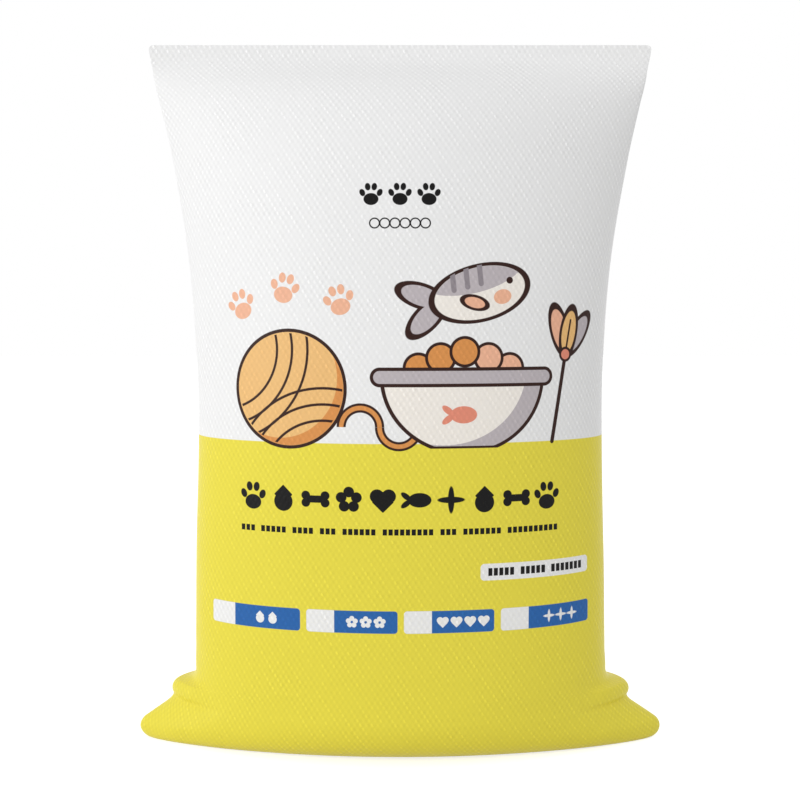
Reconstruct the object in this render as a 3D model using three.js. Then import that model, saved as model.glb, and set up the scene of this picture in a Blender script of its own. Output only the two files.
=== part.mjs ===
// A filled cat litter sack, standing on its base.
//
// One tube of laminated woven tape fabric, closed flat along its top edge, is
// packed with granules. The fill bellies the tube out and so draws its sides in,
// because the girth of the tube can't change. At the foot the weight presses the
// closed end into a flat, lens-shaped base: its two corners are pushed out as
// ears, and the slack of each side wall lies as a thick fold on top of its ear.
// The contents can't be seen, so sack and fill are one solid.
//
// Millimetres, +Z up, the front face towards -Y, and the origin on the ground
// under the middle of the sack.

import * as THREE from 'three';

// The empty tube
const FLAT_WIDTH = 261;
const SEAM_HEIGHT = 11;
const SEAM_THICKNESS = 1.2;
const SEAM_CORNER_RADIUS = 2.5;
const TOP_FLARE = { width: 1.9, height: 14.5 };
const OVERLAP_WIDTH = 28;
const OVERLAP_STEP = 0.7;

// The filled sack
const HEIGHT = 372.5;
const BELLY = [
  { height: 40, halfDepth: 48.3 },
  { height: 100, halfDepth: 50.3 },
  { height: 160, halfDepth: 53.3 },
  { height: 205, halfDepth: 53 },
  { height: 250, halfDepth: 49.6 },
  { height: 290, halfDepth: 44.6 },
  { height: 320, halfDepth: 38 },
  { height: 341, halfDepth: 27.8 },
  { height: 353.5, halfDepth: 14 },
  { height: HEIGHT - SEAM_HEIGHT, halfDepth: 0 },
];
const ROUND_BELOW_SEAM = 130;

// The foot
const BASE_HALF_DEPTH = 24;
const EAR_REACH = 142.7;
const EAR_TIP_RADIUS = 6.4;
const EAR_SLOPE = THREE.MathUtils.degToRad(55);
const NOTCH = { halfWidth: 123.4, height: 22.8, round: 4 };
const FOLD = { halfWidth: 120.3, height: 27.7, radius: 4.9 };
const FOLD_INNER_END = 88;
const BASE_FULLNESS = 0.25;

// Faces of the loft
const POINTS_ACROSS = 32;
const FOOT_RINGS = 30;
const BODY_RINGS = 28;
const SEAM_RINGS = 3;
const CORNER_RINGS = 4;
const GIRTH_STEPS = 48;

const LENS = 1;
const ELLIPSE = 2;

// How far one wall stands from the middle plane, as a share of the half depth.
// Roundness 1 is a lens with sharp ends and roundness 2 an ellipse.
function wallShare(share, roundness) {
  return Math.pow(Math.max(0, 1 - share * share), 1 / roundness);
}

// Length of one wall's curve from side to side.
function wallLength(halfWidth, halfDepth, roundness) {
  let length = 0;
  let last = new THREE.Vector2(halfWidth, 0);
  for (let step = 1; step <= GIRTH_STEPS; step++) {
    const share = Math.cos((step / GIRTH_STEPS) * (Math.PI / 2));
    const next = new THREE.Vector2(halfWidth * share, halfDepth * wallShare(share, roundness));
    length += next.distanceTo(last);
    last = next;
  }
  return 2 * length;
}

// The half width at which a wall of the tube's own width just spans the section.
function halfWidthForGirth(halfDepth, roundness) {
  let low = FLAT_WIDTH / 4;
  let high = FLAT_WIDTH / 2;
  while (high - low > 0.01) {
    const middle = (low + high) / 2;
    if (wallLength(middle, halfDepth, roundness) > FLAT_WIDTH) high = middle;
    else low = middle;
  }
  return (low + high) / 2;
}

// Outline of the foot seen from the front: half width across, height up. The
// ear's round tip, its slope up to the notch, the fold, and the side wall.
function footOutline(sideHalfWidth) {
  const tip = new THREE.Vector2(EAR_REACH - EAR_TIP_RADIUS, EAR_TIP_RADIUS);
  const foldStart = THREE.MathUtils.degToRad(-30);
  const foldEnd = THREE.MathUtils.degToRad(82);
  const slopeRun = new THREE.Vector2(-Math.sin(EAR_SLOPE), Math.cos(EAR_SLOPE));
  const slopeStart = new THREE.Vector2(Math.cos(EAR_SLOPE), Math.sin(EAR_SLOPE))
    .multiplyScalar(EAR_TIP_RADIUS)
    .add(tip);
  const slopeLength = (NOTCH.height - NOTCH.round - slopeStart.y) / slopeRun.y;
  const slopeEnd = slopeRun.multiplyScalar(slopeLength).add(slopeStart);
  const foldFoot = new THREE.Vector2(Math.cos(foldStart), Math.sin(foldStart))
    .multiplyScalar(FOLD.radius)
    .add(new THREE.Vector2(FOLD.halfWidth, FOLD.height));
  const foldCrown = FOLD.height + FOLD.radius;

  const outline = new THREE.Path();
  outline.moveTo(tip.x, 0);
  outline.absarc(tip.x, tip.y, EAR_TIP_RADIUS, -Math.PI / 2, EAR_SLOPE, false);
  outline.lineTo(slopeEnd.x, slopeEnd.y);
  outline.quadraticCurveTo(NOTCH.halfWidth, NOTCH.height, foldFoot.x, foldFoot.y);
  outline.absarc(FOLD.halfWidth, FOLD.height, FOLD.radius, foldStart, foldEnd, false);
  outline.quadraticCurveTo(sideHalfWidth, foldCrown + 1, sideHalfWidth, BELLY[0].height);
  return outline;
}

// The front wall rolls under in a quarter circle from the belly to the base.
function footHalfDepth(height) {
  const radius = BELLY[0].halfDepth - BASE_HALF_DEPTH;
  const below = Math.max(0, radius - height);
  return BASE_HALF_DEPTH + Math.sqrt(radius * radius - below * below);
}

// A corner is drawn out while the middle of the wall stays where it was: at the
// fold's inner end every section passes through the ellipse of the side wall.
// Towards the ground the load spreads the section and makes it a little fuller.
function footRoundness({ halfWidth, height, sideHalfWidth }) {
  const kept = wallShare(FOLD_INNER_END / sideHalfWidth, ELLIPSE);
  const asLens = wallShare(FOLD_INNER_END / halfWidth, LENS);
  const spread = 1 - THREE.MathUtils.smoothstep(height, 0, FOLD.height);
  return Math.log(asLens) / Math.log(kept) + BASE_FULLNESS * spread;
}

// One level section each: height, half width, half depth and roundness.
function footSections() {
  const sideHalfWidth = halfWidthForGirth(BELLY[0].halfDepth, ELLIPSE);
  const points = footOutline(sideHalfWidth).getSpacedPoints(FOOT_RINGS);
  return points.map((point) => ({
    height: point.y,
    halfWidth: point.x,
    halfDepth: footHalfDepth(point.y),
    roundness: footRoundness({ halfWidth: point.x, height: point.y, sideHalfWidth }),
  }));
}

// Pressed flat, the cut top edge spreads a little past the width of the tube.
function topFlare(height) {
  return TOP_FLARE.width * THREE.MathUtils.smoothstep(height, HEIGHT - TOP_FLARE.height, HEIGHT);
}

function bodySections() {
  const sideView = new THREE.SplineCurve(
    BELLY.map((station) => new THREE.Vector2(station.halfDepth, station.height)),
  );
  const seamFoot = HEIGHT - SEAM_HEIGHT;
  return sideView.getSpacedPoints(BODY_RINGS).slice(1).map((point) => {
    const roundness = ELLIPSE
      - THREE.MathUtils.smoothstep(point.y, seamFoot - ROUND_BELOW_SEAM, seamFoot);
    const halfDepth = Math.max(0, point.x);
    const halfWidth = halfWidthForGirth(halfDepth, roundness) + topFlare(point.y);
    return { height: point.y, halfWidth, halfDepth, roundness };
  });
}

// The closed top: the two walls lie flat on each other up to the cut edge, whose
// corners are rounded.
function seamSections() {
  const sections = [];
  const addSection = (height, inset) => {
    const halfWidth = FLAT_WIDTH / 2 + topFlare(height) - inset;
    sections.push({ height, halfWidth, halfDepth: 0, roundness: LENS });
  };
  const corner = HEIGHT - SEAM_CORNER_RADIUS;
  for (let step = 1; step < SEAM_RINGS; step++) {
    addSection(HEIGHT - SEAM_HEIGHT + (step / SEAM_RINGS) * (SEAM_HEIGHT - SEAM_CORNER_RADIUS), 0);
  }
  for (let step = 0; step <= CORNER_RINGS; step++) {
    const angle = (step / CORNER_RINGS) * (Math.PI / 2);
    const inset = SEAM_CORNER_RADIUS * (1 - Math.cos(angle));
    addSection(corner + SEAM_CORNER_RADIUS * Math.sin(angle), inset);
  }
  return sections;
}

// Places across one wall, from -1 at one side to 1 at the other.
function sharesAcross() {
  const shares = [];
  for (let step = 0; step <= POINTS_ACROSS; step++) {
    shares.push(-Math.cos((step / POINTS_ACROSS) * Math.PI));
  }
  return shares;
}

// The back wall is glued to itself in a strip down its middle. The outer layer
// ends in a sharp step, and the edge beneath it shows as a soft one.
function overlapSteps(halfWidth) {
  const edge = OVERLAP_WIDTH / 2;
  return [
    { share: -edge / halfWidth, raise: 0 },
    { share: (-edge + 0.4) / halfWidth, raise: OVERLAP_STEP },
    { share: (edge - 1.4) / halfWidth, raise: OVERLAP_STEP },
    { share: edge / halfWidth, raise: 0 },
  ];
}

// The section as a closed ring, anticlockwise seen from above: along the front
// wall to +X, then back along the rear wall with its glued strip.
function sectionRing({ height, halfWidth, halfDepth, roundness }) {
  const edge = OVERLAP_WIDTH / 2;
  const wall = (share) => SEAM_THICKNESS / 2 + halfDepth * wallShare(share, roundness);
  const front = sharesAcross().map(
    (share) => new THREE.Vector3(share * halfWidth, -wall(share), height),
  );
  const plain = sharesAcross().map((share) => ({
    share,
    raise: Math.abs(share * halfWidth) < edge ? OVERLAP_STEP : 0,
  }));
  const rear = [...plain, ...overlapSteps(halfWidth)]
    .sort((one, other) => other.share - one.share)
    .map(({ share, raise }) => new THREE.Vector3(share * halfWidth, wall(share) + raise, height));
  return [...front, ...rear];
}

function capFaces(ring, firstIndex, facingUp) {
  const contour = ring.map((point) => new THREE.Vector2(point.x, point.y));
  return THREE.ShapeUtils.triangulateShape(contour, []).flatMap(([a, b, c]) => (
    facingUp
      ? [firstIndex + a, firstIndex + b, firstIndex + c]
      : [firstIndex + a, firstIndex + c, firstIndex + b]
  ));
}

function sackGeometry() {
  const rings = [...footSections(), ...bodySections(), ...seamSections()].map(sectionRing);
  const count = rings[0].length;
  const faces = [];
  for (let level = 0; level < rings.length - 1; level++) {
    for (let place = 0; place < count; place++) {
      const next = (place + 1) % count;
      const a = level * count + place;
      const b = level * count + next;
      const c = (level + 1) * count + next;
      const d = (level + 1) * count + place;
      faces.push(a, b, c, a, c, d);
    }
  }
  faces.push(...capFaces(rings[0], 0, false));
  faces.push(...capFaces(rings.at(-1), (rings.length - 1) * count, true));

  const geometry = new THREE.BufferGeometry().setFromPoints(rings.flat());
  geometry.setIndex(faces);
  geometry.computeVertexNormals();
  return geometry;
}

function filledSack() {
  const material = new THREE.MeshStandardMaterial({
    name: 'printed_woven_sack',
    color: 0xefece4,
    roughness: 0.55,
    metalness: 0,
  });
  const mesh = new THREE.Mesh(sackGeometry(), material);
  mesh.name = 'filled_sack';
  return mesh;
}

const sack = new THREE.Group();
sack.add(filledSack());

export default sack;
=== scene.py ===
"""A filled cat litter sack of laminated woven tape, standing on its base.

The sack is one lofted shell around the space of its CAD solid: flat walls at the
closed top, an elliptical belly, and a foot that rolls under to a lens-shaped base
with an ear and a thick fold at each end. Its cloth carries a weave and the print.
"""

import logging
import math
from dataclasses import dataclass, field
from enum import Enum

import bpy
import numpy as np
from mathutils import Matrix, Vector, noise


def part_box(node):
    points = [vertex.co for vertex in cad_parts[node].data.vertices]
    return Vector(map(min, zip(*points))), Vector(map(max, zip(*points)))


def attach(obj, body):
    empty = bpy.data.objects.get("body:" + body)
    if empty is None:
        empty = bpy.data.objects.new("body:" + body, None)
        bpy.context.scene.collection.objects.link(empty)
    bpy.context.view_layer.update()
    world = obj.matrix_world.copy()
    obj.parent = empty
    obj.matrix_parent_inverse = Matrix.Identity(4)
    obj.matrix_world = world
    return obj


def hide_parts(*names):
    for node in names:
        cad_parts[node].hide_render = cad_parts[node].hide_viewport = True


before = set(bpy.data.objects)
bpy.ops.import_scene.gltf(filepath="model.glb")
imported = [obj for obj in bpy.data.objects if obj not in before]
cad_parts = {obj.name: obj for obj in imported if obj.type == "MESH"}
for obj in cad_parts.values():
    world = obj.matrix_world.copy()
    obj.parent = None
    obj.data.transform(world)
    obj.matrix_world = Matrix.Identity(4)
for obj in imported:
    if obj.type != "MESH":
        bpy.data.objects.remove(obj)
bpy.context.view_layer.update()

Pair = tuple[float, float]
Triple = tuple[float, float, float]
Tree = bpy.types.NodeTree
Socket = bpy.types.NodeSocket

LOG = logging.getLogger("litter_sack")
MM = 0.001
NODE = "filled_sack"
BODY = "root"


def linear(red: int, green: int, blue: int) -> tuple[float, float, float, float]:
    """Turns a screen colour into the linear colour that a shader takes.

    Args:
        red: Red of the screen colour, 0 to 255.
        green: Green of the screen colour, 0 to 255.
        blue: Blue of the screen colour, 0 to 255.

    Returns:
        Red, green, blue and alpha, 0 to 1.
    """
    channels = [channel / 255 for channel in (red, green, blue)]
    lit = [c / 12.92 if c <= 0.04045 else ((c + 0.055) / 1.055) ** 2.4 for c in channels]
    return (lit[0], lit[1], lit[2], 1.0)


def smooth_step(value: float, low: float, high: float) -> float:
    """Rises smoothly from 0 at low to 1 at high."""
    share = min(1.0, max(0.0, (value - low) / (high - low)))
    return share * share * (3 - 2 * share)


def dent_share(wall: np.ndarray, dent: np.ndarray) -> np.ndarray:
    """How much of a dent a wall takes: all where it is far deeper, less at thin ends."""
    return np.clip(wall / (3 * np.maximum(dent, 1e-6)), 0, 1)


def feed(tree: Tree, node: bpy.types.Node, values: tuple[object, ...]) -> None:
    """Sets or links a node's inputs in turn.

    Args:
        tree: The tree that holds the node.
        node: The node.
        values: Constants, or sockets that feed the inputs.
    """
    for socket, value in zip(node.inputs, values):
        if isinstance(value, Socket):
            tree.links.new(value, socket)
        else:
            socket.default_value = value


def add_math(tree: Tree, operation: str, *values: object, clamp: bool = False) -> Socket:
    """Adds a Math node.

    Args:
        tree: The tree that gets the node.
        operation: What the node works out.
        values: Numbers, or sockets that feed it.
        clamp: Whether the result stays between 0 and 1.

    Returns:
        The node's output.
    """
    node = tree.nodes.new("ShaderNodeMath")
    node.operation = operation
    node.use_clamp = clamp
    feed(tree, node, values)
    return node.outputs[0]


def add_vector(tree: Tree, operation: str, *values: object) -> bpy.types.Node:
    """Adds a Vector Math node.

    Args:
        tree: The tree that gets the node.
        operation: What the node works out.
        values: Vectors, or sockets that feed it.

    Returns:
        The node.
    """
    node = tree.nodes.new("ShaderNodeVectorMath")
    node.operation = operation
    feed(tree, node, values)
    return node


class Ink(Enum):
    """The inks of the print, as linear colours."""

    FILM = linear(247, 247, 247)
    YELLOW = linear(241, 227, 78)
    BLACK = linear(8, 7, 7)
    BLUE = linear(46, 105, 177)
    BROWN = linear(50, 26, 20)
    TAN = linear(245, 196, 128)
    AMBER = linear(226, 152, 84)
    CREAM = linear(252, 246, 238)
    GREY = linear(196, 188, 192)
    SLATE = linear(150, 142, 148)
    PEACH = linear(247, 188, 156)
    ROSE = linear(236, 148, 124)


@dataclass(frozen=True)
class Corner:
    """One corner of the foot seen from the front, in metres and degrees.

    The ear has a round tip and a slope up to a notch, and the slack of the side
    wall lies above the notch as a thick fold. The steps are the outline's points on
    each arc, on the slope and in the notch, and from the fold to the side wall.
    """

    reach: float
    tip_radius: float
    slope: float
    notch: Pair
    fold: Pair
    fold_radius: float
    fold_turn: Pair = (-30, 84)
    notch_round: float = 4 * MM
    shoulder: Pair = (0.2 * MM, 0.8 * MM)
    arc_steps: int = 18
    slope_steps: int = 12
    side_steps: int = 14

    def outline(self, side: float, top: float) -> list[Pair]:
        """Runs from the ground round the ear and the fold to the side wall.

        Args:
            side: Half width of the side wall above the fold.
            top: Height at which the outline joins the side wall.

        Returns:
            Points as half width and height, as many for every corner.
        """
        tip = (self.reach - self.tip_radius, self.tip_radius)
        angle = math.radians(self.slope)
        start = arc(tip, self.tip_radius, -90, self.slope, self.arc_steps)
        rise = self.notch[1] - self.notch_round - start[-1][1]
        slope_end = (start[-1][0] - rise * math.tan(angle), start[-1][1] + rise)
        crown = arc(self.fold, self.fold_radius, *self.fold_turn, self.arc_steps)
        fold_top = self.fold[1] + self.fold_radius
        shoulder = (side + self.shoulder[0], fold_top + self.shoulder[1])
        return [
            *start,
            *straight(start[-1], slope_end, self.slope_steps),
            *bend(slope_end, self.notch, crown[0], self.slope_steps),
            *crown[1:],
            *bend(crown[-1], shoulder, (side, top), self.side_steps),
        ]


def arc(centre: Pair, radius: float, start: float, end: float, steps: int) -> list[Pair]:
    """Points along an arc from one angle to another, in degrees, with both ends."""
    turns = [math.radians(start + (end - start) * step / steps) for step in range(steps + 1)]
    return [(centre[0] + radius * math.cos(t), centre[1] + radius * math.sin(t)) for t in turns]


def straight(start: Pair, end: Pair, steps: int) -> list[Pair]:
    """Points along a line, without its first end."""
    shares = [step / steps for step in range(1, steps + 1)]
    return [tuple(a + (b - a) * share for a, b in zip(start, end)) for share in shares]


def bend(start: Pair, pull: Pair, end: Pair, steps: int) -> list[Pair]:
    """Points along a curve that leans towards one pulling point.

    Args:
        start: The curve's first end, which is left out.
        pull: The point it leans towards.
        end: The curve's other end.
        steps: How many points it has.

    Returns:
        The points.
    """
    points = []
    for step in range(1, steps + 1):
        t = step / steps
        weights = ((1 - t) ** 2, 2 * t * (1 - t), t * t)
        points.append(tuple(
            weights[0] * a + weights[1] * b + weights[2] * c
            for a, b, c in zip(start, pull, end)
        ))
    return points


@dataclass
class Level:
    """One section of the sack.

    heights holds the height at the left end, in the middle and at the right end,
    and cloth the distance along the cloth at the ends and in the middle. calm is the
    half width and roundness of the wall's middle, which the fold doesn't reach.
    """

    left: float
    right: float
    heights: Triple
    depth: float
    roundness: float
    calm: Pair | None = None
    cloth: Pair = (0.0, 0.0)


@dataclass
class Draft:
    """A mesh in the making, with the place on the cloth of each corner of its faces."""

    vertices: list[Triple]
    faces: list[tuple[int, ...]] = field(default_factory=list)
    places: list[list[Pair]] = field(default_factory=list)

    def add(self, face: tuple[int, ...], places: list[Pair]) -> None:
        """Adds one face."""
        self.faces.append(face)
        self.places.append(places)


@dataclass
class SackShell:
    """The cloth of the filled sack as one closed shell, in metres.

    The tube's girth can't change, so the half width of each section follows from
    its half depth. Above the foot a section's half depth comes from the belly's
    stations, each a height and a half depth. A crease is a height, a width and a
    depth. The glued strip's outer edge is sharp, and its hidden edge soft.

    Broad swells and fine wrinkles make the cloth uneven. The swells grow between two
    heights above the ground and fade from another up to the closed top. The wrinkles
    grow between two places across and fade between two heights.
    """

    height: float
    reach: float
    flat_width: float = 261 * MM
    seam_height: float = 6 * MM
    seam_thickness: float = 0.9 * MM
    seam_corner: float = 2.5 * MM
    flare: float = 1.9 * MM
    flare_height: float = 14.5 * MM
    foot_top: float = 40 * MM
    base_depth: float = 24 * MM
    spread_start: float = 5 * MM
    fold_top: float = 28 * MM
    fold_inner_end: float = 88 * MM
    base_fullness: float = 0.25
    edge_radius: float = 1.1 * MM
    rounded_depths: Pair = (4 * MM, 20 * MM)
    strip_width: float = 28 * MM
    strip_step: float = 0.5 * MM
    strip_sharp: float = 0.35 * MM
    strip_soft: float = 1.6 * MM
    round_below_seam: float = 136 * MM
    calm_end: float = 90 * MM
    fold_start: float = 112 * MM
    creases: tuple[Triple, ...] = (
        (23.2 * MM, 1.5 * MM, 1.4 * MM),
        (34.6 * MM, 1.4 * MM, 0.8 * MM),
    )
    swell: float = 0.35 * MM
    swells_per_metre: float = 22
    swell_start: Triple = (3.1, 0.4, 7.7)
    swell_rise: Pair = (4 * MM, 30 * MM)
    swell_fade: float = 310 * MM
    wrinkle: float = 0.6 * MM
    wrinkles_per_metre: Triple = (60, 60, 95)
    wrinkle_rise: Pair = (70 * MM, 115 * MM)
    wrinkle_fade: Pair = (30 * MM, 70 * MM)
    wrinkle_foot: float = 6 * MM
    belly_half_width: float = 110 * MM
    edge_power: float = 0.04
    lean_power: int = 4
    girth_steps: int = 60
    girth_error: float = 0.005 * MM
    curve_steps: int = 40
    columns: int = 150
    ring_gap: float = 2.4 * MM
    seam_steps: int = 5
    corner_steps: int = 6
    base_rows: int = 12
    belly: tuple[Pair, ...] = (
        (40 * MM, 48.3 * MM),
        (100 * MM, 50.3 * MM),
        (160 * MM, 53.3 * MM),
        (205 * MM, 53.0 * MM),
        (250 * MM, 49.6 * MM),
        (290 * MM, 44.6 * MM),
        (320 * MM, 38.0 * MM),
        (340 * MM, 28.0 * MM),
        (350 * MM, 18.6 * MM),
        (357 * MM, 9.8 * MM),
        (362.5 * MM, 3.2 * MM),
    )
    levels: list[Level] = field(default_factory=list)

    @property
    def seam_foot(self) -> float:
        """Height at which the walls part below the closed top."""
        return self.height - self.seam_height

    @property
    def roll_radius(self) -> float:
        """Radius in which the front wall rolls under to the base."""
        return self.belly[0][1] - self.base_depth

    def share(self, place: float, roundness: float) -> float:
        """How far a wall stands out at a place across, as a share of the half depth."""
        return max(0.0, 1 - place * place) ** (1 / roundness)

    def wall_length(self, half_width: float, depth: float, roundness: float) -> float:
        """Measures one wall's curve from side to side.

        Args:
            half_width: Half width of the section.
            depth: Its half depth.
            roundness: Its roundness, 1 for a lens and 2 for an ellipse.

        Returns:
            The curve's length.
        """
        places = np.cos(np.linspace(0, math.pi / 2, self.girth_steps))
        stand = depth * np.maximum(0, 1 - places ** 2) ** (1 / roundness)
        return 2 * float(np.hypot(np.diff(half_width * places), np.diff(stand)).sum())

    def half_width(self, depth: float, roundness: float) -> float:
        """Finds the half width at which the tube's own width just spans the section.

        Args:
            depth: Half depth of the section.
            roundness: Its roundness.

        Returns:
            The half width.
        """
        low, high = self.flat_width / 4, self.flat_width / 2
        while high - low > self.girth_error:
            middle = (low + high) / 2
            if self.wall_length(middle, depth, roundness) > self.flat_width:
                high = middle
            else:
                low = middle
        return (low + high) / 2

    def top_flare(self, height: float) -> float:
        """How much the flat top spreads past the tube's width at a height."""
        return self.flare * smooth_step(height, self.height - self.flare_height, self.height)

    def side_view(self) -> list[Pair]:
        """Points up the front wall above the foot, as height and half depth.

        Returns:
            Points a ring's gap apart on a smooth curve through the belly's stations.
        """
        stations = [*self.belly, (self.seam_foot, 0.0)]
        points = np.array([stations[0], *stations, stations[-1]])
        points[0] = 2 * points[1] - points[2]
        points[-1] = 2 * points[-2] - points[-3]
        curve = []
        for index in range(1, len(points) - 2):
            p0, p1, p2, p3 = points[index - 1: index + 3]
            for t in np.linspace(0, 1, self.curve_steps, endpoint=False):
                curve.append(0.5 * (
                    2 * p1 + (p2 - p0) * t + (2 * p0 - 5 * p1 + 4 * p2 - p3) * t ** 2
                    + (3 * p1 - p0 - 3 * p2 + p3) * t ** 3
                ))
        curve.append(points[-2])
        curve = np.array(curve)
        run = np.concatenate([[0], np.cumsum(np.hypot(*np.diff(curve, axis=0).T))])
        places = np.linspace(0, run[-1], round(run[-1] / self.ring_gap) + 1)
        heights = np.interp(places, run, curve[:, 0])
        depths = np.interp(places, run, curve[:, 1])
        return list(zip(heights, np.maximum(depths, 0)))

    def foot_depth(self, height: float) -> float:
        """Half depth in the foot, where the wall rolls under in a quarter circle."""
        below = max(0.0, self.roll_radius - height)
        return self.base_depth + math.sqrt(self.roll_radius ** 2 - below ** 2)

    def foot_roundness(self, half_width: float, side: float, height: float) -> float:
        """Draws a corner out while the middle of the wall stays where it was.

        Args:
            half_width: Half width of the section.
            side: Half width of the side wall above the fold.
            height: Height of the section.

        Returns:
            The section's roundness, a little fuller towards the loaded base.
        """
        kept = self.share(self.fold_inner_end / side, 2)
        as_lens = self.share(self.fold_inner_end / half_width, 1)
        spread = 1 - smooth_step(height, 0, self.fold_top)
        return math.log(as_lens) / math.log(kept) + self.base_fullness * spread

    def corners(self) -> tuple[Corner, Corner]:
        """Gives the two corners, which the fill has pressed out a little differently.

        Returns:
            The left and the right corner.
        """
        left = Corner(
            reach=self.reach - 0.3 * MM,
            tip_radius=6.4 * MM,
            slope=55.0,
            notch=(123.4 * MM, 23.2 * MM),
            fold=(120.1 * MM, 28.1 * MM),
            fold_radius=4.9 * MM,
        )
        right = Corner(
            reach=self.reach,
            tip_radius=6.2 * MM,
            slope=55.5,
            notch=(123.2 * MM, 22.6 * MM),
            fold=(120.5 * MM, 27.4 * MM),
            fold_radius=4.9 * MM,
        )
        return left, right

    def foot_levels(self) -> list[Level]:
        """Lays out the sections from the ground up to the top of the foot.

        Returns:
            The sections, from the lowest up.
        """
        side = self.half_width(self.belly[0][1], 2)
        left, right = (corner.outline(side, self.foot_top) for corner in self.corners())
        levels = []
        for (left_width, left_height), (right_width, right_height) in zip(left, right):
            middle = (left_height + right_height) / 2
            half_width = (left_width + right_width) / 2
            spread = 1 - smooth_step(middle, self.spread_start, self.foot_top)
            calm = side + (self.reach - side) * spread
            levels.append(Level(
                left=left_width,
                right=right_width,
                heights=(left_height, middle, right_height),
                depth=self.foot_depth(middle),
                roundness=self.foot_roundness(half_width, side, middle),
                calm=(calm, self.foot_roundness(calm, side, middle)),
            ))
        return levels

    def body_levels(self) -> list[Level]:
        """Lays out the sections from above the foot to where the walls meet.

        Returns:
            The sections, from the lowest up.
        """
        levels = []
        start = self.seam_foot - self.round_below_seam
        for height, depth in self.side_view()[1:]:
            roundness = 2 - smooth_step(height, start, self.seam_foot)
            half_width = self.half_width(depth, roundness) + self.top_flare(height)
            levels.append(Level(
                left=half_width,
                right=half_width,
                heights=(height,) * 3,
                depth=depth,
                roundness=roundness,
            ))
        return levels

    def seam_levels(self) -> list[Level]:
        """Lays out the sections of the closed top, whose upper corners are rounded.

        Returns:
            The sections, from the lowest up.
        """
        radius, start = self.seam_corner, self.height - self.seam_corner
        places = [(0.0, z) for z in np.linspace(self.seam_foot, start, self.seam_steps + 1)[1:]]
        places += arc((radius, start), radius, 180, 90, self.corner_steps)[1:]
        levels = []
        for inset, height in places:
            width = self.flat_width / 2 + self.top_flare(height) - inset
            levels.append(
                Level(left=width, right=width, heights=(height,) * 3, depth=0, roundness=1)
            )
        return levels

    def measure_cloth(self) -> None:
        """Gives each section its distance along the cloth, level with the foot's top."""
        middle, end = 0.0, 0.0
        last = self.levels[0]
        last.cloth = (end, middle)
        for level in self.levels[1:]:
            middle += math.hypot(level.heights[1] - last.heights[1], level.depth - last.depth)
            end += math.hypot(level.heights[0] - last.heights[0], level.left - last.left)
            level.cloth = (end, middle)
            last = level
        top = next(level for level in self.levels if level.heights[1] >= self.foot_top - 1e-9)
        shift = (self.foot_top - top.cloth[0], self.foot_top - top.cloth[1])
        for level in self.levels:
            above = level.heights[1] >= self.foot_top
            end = level.cloth[1] + shift[1] if above else level.cloth[0] + shift[0]
            level.cloth = (end, level.cloth[1] + shift[1])

    def ripple(self, x: float, y: float, z: float) -> float:
        """Small unevenness of a packed cloth, stronger in the slack above the ears.

        Args:
            x: Place across.
            y: Place towards the back.
            z: Height.

        Returns:
            How far the cloth stands out of its smooth form.
        """
        place = Vector((x, y, z))
        broad = noise.noise(place * self.swells_per_metre + Vector(self.swell_start))
        fine = noise.noise(place * Vector(self.wrinkles_per_metre))
        body = smooth_step(z, *self.swell_rise)
        body *= 1 - smooth_step(z, self.swell_fade, self.seam_foot)
        slack = smooth_step(abs(x), *self.wrinkle_rise)
        slack *= 1 - smooth_step(z, *self.wrinkle_fade)
        slack *= smooth_step(z, 0, self.wrinkle_foot)
        return body * self.swell * broad + slack * self.wrinkle * fine

    def plain_places(self) -> np.ndarray:
        """Places across one wall, from -1 at the left side to 1 at the right."""
        return -np.cos(np.linspace(0, math.pi, self.columns + 1))

    def wall_points(self, level: Level, rear: bool) -> tuple[np.ndarray, np.ndarray]:
        """Places one wall's points at one level, from the left side to the right.

        Args:
            level: The section.
            rear: Whether the wall is the rear one, with the glued strip.

        Returns:
            The points, and their cloth coordinates across and along.
        """
        places = self.plain_places()
        width = np.where(places < 0, level.left, level.right)
        x = places * width
        if rear:
            x = self.strip_columns(x)
            places = x / width
        bulk = np.maximum(0, 1 - places ** 2)
        wall = level.depth * bulk ** (1 / level.roundness)
        if level.calm:
            wall = self.crease(level, x, wall)
        rounding = 2 * self.edge_radius * smooth_step(level.depth, *self.rounded_depths)
        wall = np.sqrt(wall ** 2 + rounding * wall)
        wall += self.seam_thickness / 2 * bulk ** self.edge_power
        if rear:
            wall += self.strip_height(x)
        lean = np.abs(places) ** self.lean_power
        ends = np.where(places < 0, level.heights[0], level.heights[2])
        z = level.heights[1] + (ends - level.heights[1]) * lean
        y = wall if rear else -wall
        across = np.concatenate([[0], np.cumsum(np.hypot(np.diff(x), np.diff(y)))])
        across -= np.interp(0, x, across)
        along = level.cloth[1] + (level.cloth[0] - level.cloth[1]) * lean
        return np.stack([x, y, z], axis=1), np.stack([across, along], axis=1)

    def crease(self, level: Level, x: np.ndarray, wall: np.ndarray) -> np.ndarray:
        """Keeps the fold out of the wall's middle and presses its two creases in.

        Args:
            level: A section of the foot.
            x: Places across.
            wall: How far the wall stands out there.

        Returns:
            How far the wall stands out with its creases.
        """
        calm_width, calm_roundness = level.calm
        bulk = np.maximum(0, 1 - (x / calm_width) ** 2)
        calm = level.depth * bulk ** (1 / calm_roundness)
        share = (np.abs(x) - self.calm_end) / (self.fold_start - self.calm_end)
        share = np.clip(share, 0, 1)
        rise = share * share * (3 - 2 * share)
        wall = calm * (1 - rise) + wall * rise
        for height, width, depth in self.creases:
            off = (level.heights[1] - height) / width
            dent = depth * math.exp(-off * off) * rise
            wall = wall - dent * dent_share(wall, dent)
        return np.maximum(0, wall)

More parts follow.
